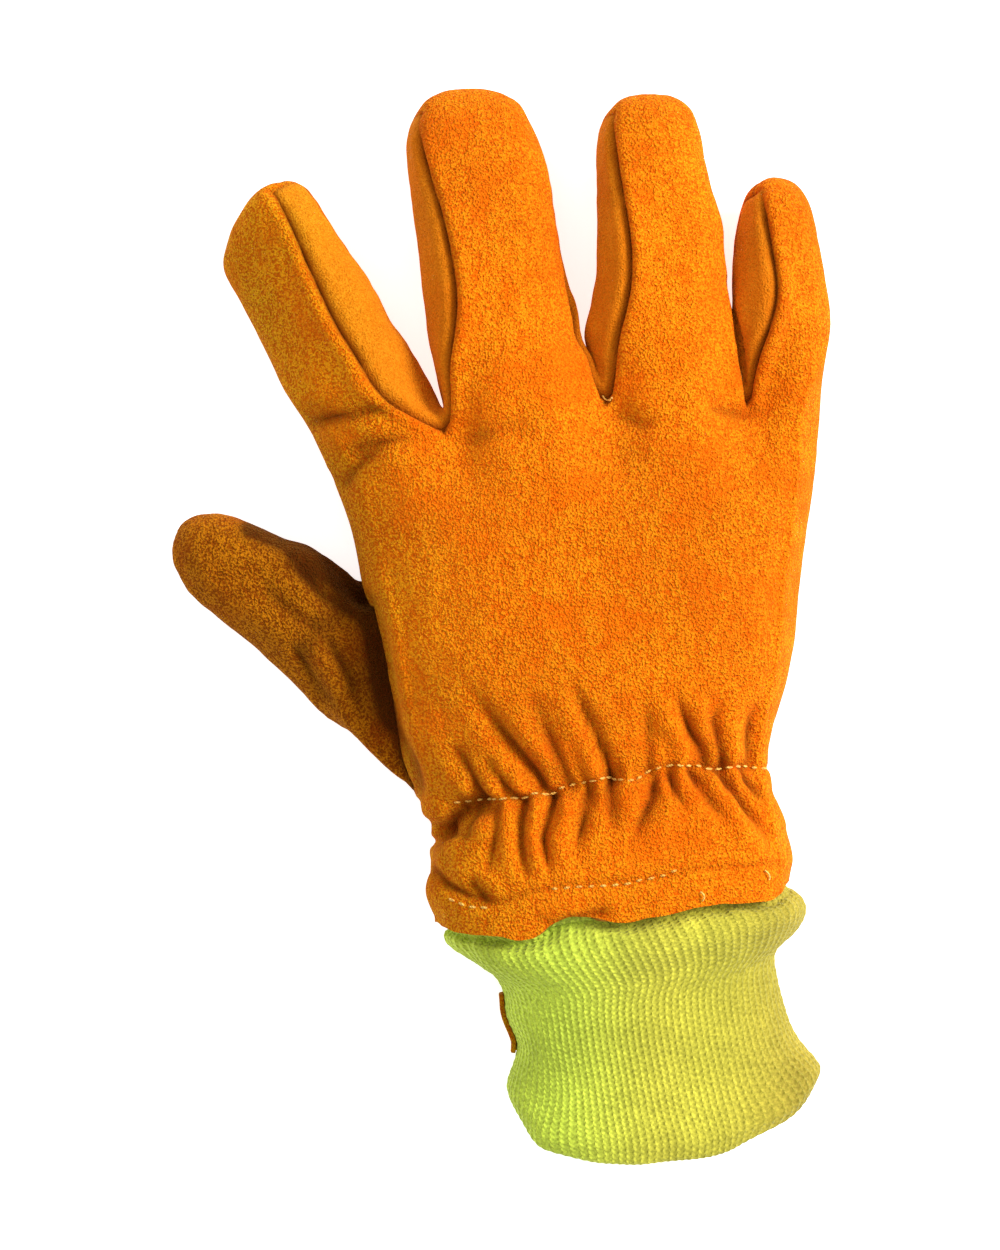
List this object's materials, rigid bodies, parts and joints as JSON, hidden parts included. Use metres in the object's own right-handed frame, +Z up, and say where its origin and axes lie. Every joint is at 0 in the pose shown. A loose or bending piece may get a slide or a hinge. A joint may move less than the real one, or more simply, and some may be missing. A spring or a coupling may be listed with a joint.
{
  "type": "firefighter glove",
  "caption": "Right-hand firefighter glove of orange split suede with an elastic gather at the wrist, seamed fingers and thumb, and a yellow-green knitted wristlet.",
  "frame": {"origin": "on the floor under the middle of the glove's box, the glove lying on its palm", "axes": "+X to the little finger's side, +Y to the fingertips, +Z up out of the back of the hand"},
  "size_m": [0.19, 0.3048, 0.046],
  "materials": {
    "suede": "napped suede",
    "gusset_suede": "fine suede",
    "knit": "ribbed knit"
  },
  "bodies": {
    "root": {"back_panel": "suede", "palm_panel": "suede", "thumb_back": "suede", "thumb_front": "suede", "fourchette_index_middle": "gusset_suede", "fourchette_middle_ring": "gusset_suede", "fourchette_ring_little": "gusset_suede", "knit_cuff": "knit", "pull_tab": "suede"}
  },
  "joints": []
}
